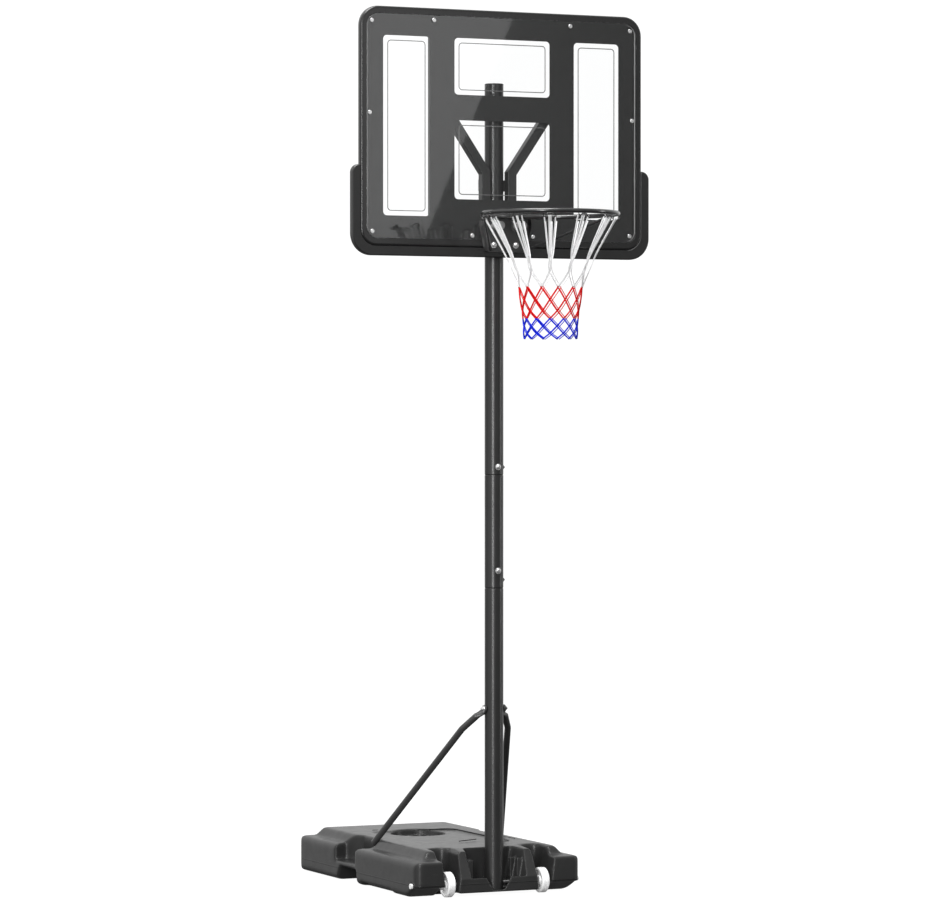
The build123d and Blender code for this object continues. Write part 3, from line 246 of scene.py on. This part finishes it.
# coated: name, two tones, roughness, grains per metre, depth of a grain in metres
# brushed: name, two tones, roughness
tank_mat = tank_plastic("tank_plastic")
powder_mat = coated("powder_black", 0.013, 0.016, 0.30, 1500.0, 0.000005)
ink_mat = coated("print_ink", 0.012, 0.014, 0.30, 700.0, 0.000004, patch=3.0)
line_mat = coated("line_ink", 0.13, 0.16, 0.4, 900.0, 0.000004)
sheet_mat = clear_sheet("polycarbonate")
frame_mat = coated("frame_plastic", 0.009, 0.011, 0.26, 1300.0, 0.000003)
guard_mat = coated("guard_plastic", 0.008, 0.010, 0.40, 900.0, 0.00003)
bracket_mat = coated("bracket_black", 0.018, 0.023, 0.36, 1500.0, 0.00002)
rim_mat = coated("rim_enamel", 0.015, 0.019, 0.22, 1200.0, 0.000004, coat=0.4)
# Lighter than the other black plastics: painted light on the strut, standing in for the light falling from
# the top left.
lit_strut_mat = coated("strut_black", 0.034, 0.040, 0.34, 1500.0, 0.000015)
spring_cap_mat = coated("spring_cap", 0.32, 0.38, 0.34, 1300.0, 0.000005)
bracket_pan_mat = coated("bracket_enamel", 0.030, 0.036, 0.30, 1200.0, 0.000004)
# Grey rather than black: a painted highlight on the beads, on top of the real gloss from the left strip
# lamp.
bead_highlight_mat = coated("bead_painted_highlight", 0.11, 0.13, 0.24, 1300.0, 0.00001)
# Near-black for the deck's lines of painted shade.
shade_line_mat = coated("painted_shade_line", 0.004, 0.006, 0.6, 1300.0, 0.00001, specular=0.15)
cap_mat = coated("cap_plastic", 0.012, 0.015, 0.55, 1000.0, 0.00002, specular=0.3)
wheel_mat = coated("wheel_white", 0.85, 0.88, 0.42, 900.0, 0.000004)
# Darker than plated steel: painted shade for the rod sitting in its notch.
shaded_axle_mat = brushed("axle_steel", 0.22, 0.34, 0.34)
axle_cap_mat = coated("axle_cap_white", 0.76, 0.82, 0.35, 900.0, 0.00005)
screw_mat = brushed("screw_zinc", 0.62, 0.80, 0.26)
dark_screw_mat = coated("screw_dark", 0.07, 0.11, 0.30, 1300.0, 0.000012, metallic=0.6)
spring_mat = brushed("spring_steel", 0.20, 0.32, 0.30)
white_cord = corded("cord_white", *NET_WHITE)
red_cord = corded("cord_red", *NET_RED)
blue_cord = corded("cord_blue", *NET_BLUE)

BY_SLOT = {
    "tank_black": tank_mat,
    "cap_black": cap_mat,
    "axle_steel": shaded_axle_mat,
    "axle_cap_white": axle_cap_mat,
    "wheel_white": wheel_mat,
    "pole_black": powder_mat,
    "pole_cap_black": cap_mat,
    "screw_steel": screw_mat,
    "screw_dark": dark_screw_mat,
    "strut_black": lit_strut_mat,
    "sheet_clear": sheet_mat,
    "print_black": ink_mat,
    "line_grey": line_mat,
    "frame_black": frame_mat,
    "guard_black": guard_mat,
    "bracket_black": bracket_mat,
    "rim_black": rim_mat,
    "spring_steel": spring_mat,
    "net_cord": white_cord,
}
for entry in frame["record"]["subparts"]:
    cad_mesh = NODES[entry["node"]].data
    cad_mesh.materials.clear()
    cad_mesh.materials.append(BY_SLOT[entry["material_slot"]])
NODES["spring_bolts"].data.materials[0] = spring_cap_mat


# ---------------------------------------------------------------- softened copies of CAD nodes
EASE_WIDTH = 0.0012
EASE_SEGMENTS = 2
EASE_ANGLE = 40.0            # edges sharper than this many degrees are eased
TANK_VOXEL = 0.0035
SMOOTH_FACTOR = 0.5
FIRST_PASSES = 4             # smoothing of the whole tank, then of all but the pole's recess
SOFT_PASSES = 26
CRISP_X = 0.150              # inside this and in front of CRISP_Y the pole's recess keeps its ribs
CRISP_Y = -0.430


def place(mesh, name, mat, body):
    """A new piece from a mesh, with its material, body and slot."""
    piece = bpy.data.objects.new(name, mesh)
    bpy.context.scene.collection.objects.link(piece)
    mesh.materials.clear()
    mesh.materials.append(mat)
    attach(piece, body)
    return piece


def applied(piece):
    """The piece's mesh with its modifiers applied."""
    graph = bpy.context.evaluated_depsgraph_get()
    return bpy.data.meshes.new_from_object(piece.evaluated_get(graph), depsgraph=graph)


def loose_copy(node):
    """A copy of the CAD node's mesh with its split corners joined, as an object to work on."""
    mesh = NODES[node].data.copy()
    bm = bmesh.new()
    bm.from_mesh(mesh)
    bmesh.ops.remove_doubles(bm, verts=bm.verts, dist=0.00001)
    bm.to_mesh(mesh)
    bm.free()
    copy = bpy.data.objects.new("rough", mesh)
    bpy.context.scene.collection.objects.link(copy)
    return copy


def eased_copy(node, name, mat, body):
    """The CAD node's shape with its sharp edges eased, so that they catch the light."""
    rough = loose_copy(node)
    ease = rough.modifiers.new("ease", "BEVEL")
    ease.width = EASE_WIDTH
    ease.segments = EASE_SEGMENTS
    ease.limit_method = "ANGLE"
    ease.angle_limit = math.radians(EASE_ANGLE)
    ease.harden_normals = True
    mesh = applied(rough)
    bpy.data.objects.remove(rough)
    piece = place(mesh, name, mat, body)
    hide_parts(node)
    return piece


def moulded_copy(node, name, mat, body):
    """The CAD node's shape with its edges softened, as a blow mould leaves it."""
    rough = loose_copy(node)
    remesh = rough.modifiers.new("remesh", "REMESH")
    remesh.mode = "VOXEL"
    remesh.voxel_size = TANK_VOXEL
    smooth = rough.modifiers.new("smooth", "SMOOTH")
    smooth.factor = SMOOTH_FACTOR
    smooth.iterations = FIRST_PASSES
    mesh = applied(rough)
    bpy.data.objects.remove(rough)
    softer = bpy.data.objects.new("softer", mesh)
    bpy.context.scene.collection.objects.link(softer)
    outer = softer.vertex_groups.new(name="outer")
    soft = [v.index for v in mesh.vertices if abs(v.co.x) > CRISP_X or v.co.y > CRISP_Y]
    outer.add(soft, 1.0, "REPLACE")
    ease = softer.modifiers.new("ease", "SMOOTH")
    ease.factor = SMOOTH_FACTOR
    ease.iterations = SOFT_PASSES
    ease.vertex_group = outer.name
    mesh = applied(softer)
    bpy.data.objects.remove(softer)
    mesh.polygons.foreach_set("use_smooth", [True] * len(mesh.polygons))
    piece = place(mesh, name, mat, body)
    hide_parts(node)


moulded_copy("base_tank", "tank_shell", tank_mat, "base")
frame_trim = eased_copy("board_frame", "frame_trim", frame_mat, "board")
bracket_pan = eased_copy("rim_bracket", "bracket_pan", bracket_pan_mat, "rim")


# ---------------------------------------------------------------- round lines
SIDES = 8                    # flat sides round a cord or a line


def add_tube(bm, uv, line, radii):
    """A round tube along the line into a bmesh, capped, with its way round and along it in the map."""
    rings = []
    side = None
    length = 0.0
    for i, point in enumerate(line):
        ahead = line[min(i + 1, len(line) - 1)] - line[max(i - 1, 0)]
        ahead.normalize()
        if side is None:
            side = ahead.orthogonal()
        side = (side - ahead * side.dot(ahead)).normalized()
        other = ahead.cross(side)
        if i:
            length += (point - line[i - 1]).length
        turns = [2 * math.pi * k / SIDES for k in range(SIDES)]
        ring = [bm.verts.new(point + radii[i] * (math.cos(a) * side + math.sin(a) * other)) for a in turns]
        rings.append((ring, length))
    for (ring_a, at_a), (ring_b, at_b) in zip(rings, rings[1:]):
        for k in range(SIDES):
            n = (k + 1) % SIDES
            face = bm.faces.new((ring_a[k], ring_a[n], ring_b[n], ring_b[k]))
            face.smooth = True
            across = (k / SIDES, (k + 1) / SIDES, (k + 1) / SIDES, k / SIDES)
            along = (at_a, at_a, at_b, at_b)
            for loop, x, y in zip(face.loops, across, along):
                loop[uv].uv = (x, y)
    bm.faces.new(list(reversed(rings[0][0])))
    bm.faces.new(rings[-1][0])


def lines_piece(name, paths, mat, body):
    """A piece of round lines along the given paths, each a list of points and a list of radii."""
    bm = bmesh.new()
    uv = bm.loops.layers.uv.new("cord")
    for line, radii in paths:
        add_tube(bm, uv, line, radii)
    mesh = bpy.data.meshes.new(name)
    bm.to_mesh(mesh)
    bm.free()
    return place(mesh, name, mat, body)


# ---------------------------------------------------------------- net
RING_Y = -0.974
NET_TURN = 3.7               # degrees that the hooks and the net are turned about the ring
COLUMNS = 12
COLUMN_TURN = 360.0 / COLUMNS
LEVELS = (                   # height, radius, half columns that a cord has gone round by then
    (2.417, 0.2290, 0),
    (2.300, 0.1640, 0),
    (2.237, 0.1360, 0),
    (2.176, 0.1130, 1),
    (2.133, 0.1060, 2),
    (2.094, 0.1005, 3),
    (2.066, 0.0965, 4),
    (2.040, 0.0950, 5),
    (2.015, 0.0940, 6),
    (1.996, 0.0935, 7),
)
RED_FROM = 3                 # levels where the colour changes
BLUE_FROM = 6
THIN_FROM = 2                # level from which a cord has its lower radius
CORD_R = 0.0016
TOP_R = 0.0026
POINT_GAP = 0.003            # metres between a cord's points
TOP_SHIFTS = (               # on the first levels: a pair's place beside its column, half its width
    (0.0115, 0.0085),
    (0.0058, 0.0030),
)
PAIR_HALF = {1: 0.0050, -1: 0.0018}      # half a pair's width below them, for each way round
LIFT = 0.0013                # one way passes outside the other by twice this


def catmull(points):
    """Points about POINT_GAP apart on a smooth line through the given ones."""
    pts = [Vector(p) for p in points]
    pts = [2 * pts[0] - pts[1]] + pts + [2 * pts[-1] - pts[-2]]
    line = []
    for i in range(1, len(pts) - 2):
        a, b, c, d = pts[i - 1 : i + 3]
        count = max(2, int((c - b).length / POINT_GAP))
        for k in range(count):
            t = k / count
            bend = 2 * a - 5 * b + 4 * c - d
            twist = 3 * (b - c) + d - a
            line.append(0.5 * (2 * b + (c - a) * t + bend * t * t + twist * t * t * t))
    line.append(pts[-2])
    return line


def sideways(level, way, twin):
    """How far beside its column a cord is, in metres: twin is +1 or -1 for the two of a pair."""
    if level < len(TOP_SHIFTS):
        middle, half = TOP_SHIFTS[level]
        return way * (middle + twin * half)
    return twin * PAIR_HALF[way]


def net_point(column, level, way, twin):
    """Where a cord is at one level: way is +1 or -1 for the two ways round."""
    z, radius, steps = LEVELS[level]
    along = NET_TURN + COLUMN_TURN * column + way * COLUMN_TURN / 2 * steps
    angle = math.radians(along) + sideways(level, way, twin) / radius
    reach = radius + way * LIFT
    return Vector((reach * math.cos(angle), RING_Y + reach * math.sin(angle), z))


def cord_radius(z):
    """A cord's radius at a height: it thins from the hook down."""
    top = LEVELS[0][0]
    down = min(1.0, max(0.0, (top - z) / (top - LEVELS[THIN_FROM][0])))
    return TOP_R + (CORD_R - TOP_R) * down


def net_cords(name, first, last, mat):
    """All cords of one colour, from one level down to another."""
    paths = []
    for column in range(COLUMNS):
        for way in (1, -1):
            for twin in (1, -1):
                line = catmull([net_point(column, level, way, twin) for level in range(first, last + 1)])
                paths.append((line, [cord_radius(point.z) for point in line]))
    return lines_piece(name, paths, mat, "rim")


net_top = net_cords("net_white", 0, RED_FROM, white_cord)
net_cords("net_red", RED_FROM, BLUE_FROM, red_cord)
net_cords("net_blue", BLUE_FROM, len(LEVELS) - 1, blue_cord)
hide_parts("net")
rim_pieces = [NODES[n] for n in ("rim_ring", "rim_braces", "rim_bolts", "spring_bolts", "springs")]
for piece in (*rim_pieces, frame_trim, bracket_pan):
    piece.visible_glossy = False     # they would leave a dark patch in the sheet's reflection


# ---------------------------------------------------------------- small lines
ARC_STEP = 15                # degrees between the points of a rounded corner
BEAD_X = 0.5305              # beads beside the clear sheet's two upright edges
BEAD_Y = -0.5825
BEAD_R = 0.0026
BEAD_LOW_Z = 2.402
BEAD_TOP_Z = 3.104
BEAD_CORNER = 0.040
BEAD_LEAN = 0.8              # how far a bead's end turns in, as a share of a full corner
BEAD_TIP = 0.2               # its radius at the tip, as a share of BEAD_R
DECK_Z = 0.1668
TRAY_X = 0.172
TRAY_LOW_Y = -0.100
TRAY_BACK_X = 0.030
TRAY_HIGH_Y = 0.236
TRAY_CORNER = 0.046
# Dark lines of painted shade on the deck: the tray's edge and short creases, drawn where these edges fall
# into shade.
SHADE_LINE_R = 0.0016
SHADE_MARKS = (                    # from, to, in the deck's plane
    ((-0.137, 0.280), (-0.116, 0.280)),
    ((-0.007, -0.219), (0.080, -0.180)),
    ((0.211, -0.124), (0.220, -0.220)),
)


def bead_path(side):
    """Up one side of the sheet, fading out round the two corners."""
    last = 90 - ARC_STEP
    lower = []
    for turn in range(0, 90, ARC_STEP):
        angle = math.radians(turn)
        x = side * (BEAD_X - BEAD_CORNER * (1 - math.sin(angle)) * BEAD_LEAN)
        z = BEAD_LOW_Z - BEAD_CORNER * math.cos(angle)
        lower.append((x, z, BEAD_R * (BEAD_TIP + (1 - BEAD_TIP) * turn / last)))
    upper = [(x, BEAD_TOP_Z + BEAD_LOW_Z - z, radius) for x, z, radius in reversed(lower)]
    both = lower + upper
    return [Vector((x, BEAD_Y, z)) for x, z, radius in both], [radius for x, z, radius in both]


def tray_shade_path():
    """Along the sunk tray's right edge and round its back corner, as a flush dark line of painted shade.
    """
    z = DECK_Z - SHADE_LINE_R
    line = [Vector((TRAY_X, TRAY_LOW_Y, z))]
    for turn in range(0, 90 + ARC_STEP, ARC_STEP):
        angle = math.radians(turn)
        x = TRAY_X - TRAY_CORNER + TRAY_CORNER * math.cos(angle)
        y = TRAY_HIGH_Y - TRAY_CORNER + TRAY_CORNER * math.sin(angle)
        line.append(Vector((x, y, z)))
    line.append(Vector((TRAY_BACK_X, TRAY_HIGH_Y, z)))
    return line, [SHADE_LINE_R] * len(line)


# Beads whose grey colour paints the bright line beside the sheet's upright edges.
lines_piece("sheet_beads", [bead_path(-1), bead_path(1)], bead_highlight_mat, "board")
shade_mark_paths = [([Vector((*a, DECK_Z)), Vector((*b, DECK_Z))], [SHADE_LINE_R, SHADE_LINE_R]) for a, b in SHADE_MARKS]
# Painted shade: dark lines along the tray's edge and at short creases on the deck.
lines_piece("deck_shade_lines", [tray_shade_path(), *shade_mark_paths], shade_line_mat, "base")


# ---------------------------------------------------------------- floor and light
FLOOR_HALF = 60.0
FLOOR_GLOW = 0.97
EYE_WHITE = 1.06             # the world's strength as the camera sees it
DIM_SIDE = (0.55, -0.83, 0.0)
FRONT_LIGHT = 0.30
BACK_LIGHT = 1.0
LOW_LIGHT = 0.12
FLAG_SIDE = (-0.77, 0.64, 0.0)
FLAG_LIGHT = 0.4
LAMPS = (                    # name, place, what it faces, width, height, brightness per area, roll
    ("strip_left", (-6.43, -8.68, 2.8), (0, -0.5, 1.6), 1.4, 6.0, 22.0),
    ("strip_right", (8.3, -4.0, 2.8), (0, -0.5, 1.6), 0.9, 6.0, 7.0),
    ("top_light", (-1.5, -1.5, 7.5), (0, -0.2, 1.0), 3.0, 3.0, 14.0),
    ("front_fill", (-3.5, -9.5, 3.5), (0, -0.6, 1.5), 3.0, 3.0, 9.0),
    ("board_card", (1.6625, -6.5, 3.588), (1.6625, 0.0, 3.588), 2.0, 2.6, 1.1, -23.44),
)


def stage_floor():
    """A plain pale floor, bright enough to run into the background."""
    mat, tree, shader, where = new_material("pale_floor")
    tone = mix_colour(tree, remap(tree, noise(tree, where, 0.8)), 0.10, 0.12)
    tree.links.new(tone, shader.inputs["Base Color"])
    shader.inputs["Roughness"].default_value = 0.9
    shader.inputs["Specular IOR Level"].default_value = 0.1
    shader.inputs["Emission Color"].default_value = (1, 1, 1, 1)
    shader.inputs["Emission Strength"].default_value = FLOOR_GLOW
    mesh = bpy.data.meshes.new("floor")
    corners = [(x * FLOOR_HALF, y * FLOOR_HALF, 0) for x, y in ((-1, -1), (1, -1), (1, 1), (-1, 1))]
    mesh.from_pydata(corners, [], [(0, 1, 2, 3)])
    mesh.materials.append(mat)
    floor = bpy.data.objects.new("floor", mesh)
    bpy.context.scene.collection.objects.link(floor)
    floor.visible_diffuse = False
    floor.visible_glossy = False


def softbox(name, at, towards, width, height, radiance, roll=0.0):
    """A rectangular soft light at a point, facing another, of this brightness per area."""
    lamp = bpy.data.lights.new(name, "AREA")
    lamp.shape = "RECTANGLE"
    lamp.size = width
    lamp.size_y = height
    lamp.energy = radiance * math.pi * width * height
    box = bpy.data.objects.new(name, lamp)
    box.location = at
    box.rotation_euler = (Vector(towards) - Vector(at)).to_track_quat("-Z", "Y").to_euler()
    box.rotation_euler.rotate_axis("Z", math.radians(roll))
    box.visible_camera = False
    bpy.context.scene.collection.objects.link(box)
    return box


def leaning(tree, where, side):
    """How far a direction leans to a side: 1 along it, 0 across it."""
    node = tree.nodes.new("ShaderNodeVectorMath")
    node.operation = "DOT_PRODUCT"
    tree.links.new(where, node.inputs[0])
    node.inputs[1].default_value = side
    return node.outputs["Value"]


def studio():
    """White all round for the eye. As light it is dimmer at the front right, the back left and below."""
    world = bpy.data.worlds.new("studio")
    bpy.context.scene.world = world
    world.use_nodes = True
    tree = world.node_tree
    dim = tree.nodes["Background"]
    white = tree.nodes.new("ShaderNodeBackground")
    for node in (dim, white):
        node.inputs["Color"].default_value = (1, 1, 1, 1)
    coords = tree.nodes.new("ShaderNodeTexCoord")
    where = coords.outputs["Generated"]
    split = tree.nodes.new("ShaderNodeSeparateXYZ")
    tree.links.new(where, split.inputs["Vector"])
    front = leaning(tree, where, DIM_SIDE)
    side = remap(tree, front, BACK_LIGHT, FRONT_LIGHT, from_low=0.1, from_high=0.9)
    flagged = leaning(tree, where, FLAG_SIDE)
    flag = remap(tree, flagged, 1.0, FLAG_LIGHT, from_low=0.85, from_high=1.0)
    below = remap(tree, split.outputs["Z"], LOW_LIGHT, 1.0, from_low=-0.35, from_high=0.0)
    strength = maths(tree, "MULTIPLY", maths(tree, "MULTIPLY", side, below), flag)
    tree.links.new(strength, dim.inputs["Strength"])
    white.inputs["Strength"].default_value = EYE_WHITE
    eye = tree.nodes.new("ShaderNodeLightPath")
    pick = tree.nodes.new("ShaderNodeMixShader")
    tree.links.new(eye.outputs["Is Camera Ray"], pick.inputs["Fac"])
    tree.links.new(dim.outputs["Background"], pick.inputs[1])
    tree.links.new(white.outputs["Background"], pick.inputs[2])
    tree.links.new(pick.outputs["Shader"], tree.nodes["World Output"].inputs["Surface"])


stage_floor()
studio()
lamps = {row[0]: softbox(*row) for row in LAMPS}
lamps["front_fill"].visible_glossy = False
lamps["board_card"].visible_diffuse = False          # only there for its slanting edge in the board
lamps["board_card"].visible_transmission = False

view = bpy.context.scene.view_settings
view.view_transform = "Standard"
view.look = "None"


# ---------------------------------------------------------------- camera
CAMERA_AT = (-6.2819, -13.9514, 1.7116)
CAMERA_TILT = 89.563         # degrees from straight down
CAMERA_TURN = -24.78
SENSOR_MM = 36.0
LENS_MM = 156.06

lens = bpy.data.cameras.new("camera")
lens.sensor_width = SENSOR_MM
lens.lens = LENS_MM
lens.clip_start = 0.1
lens.clip_end = 300.0
camera = bpy.data.objects.new("camera", lens)
camera.location = CAMERA_AT
camera.rotation_euler = (math.radians(CAMERA_TILT), 0.0, math.radians(CAMERA_TURN))
bpy.context.scene.collection.objects.link(camera)
bpy.context.scene.camera = camera
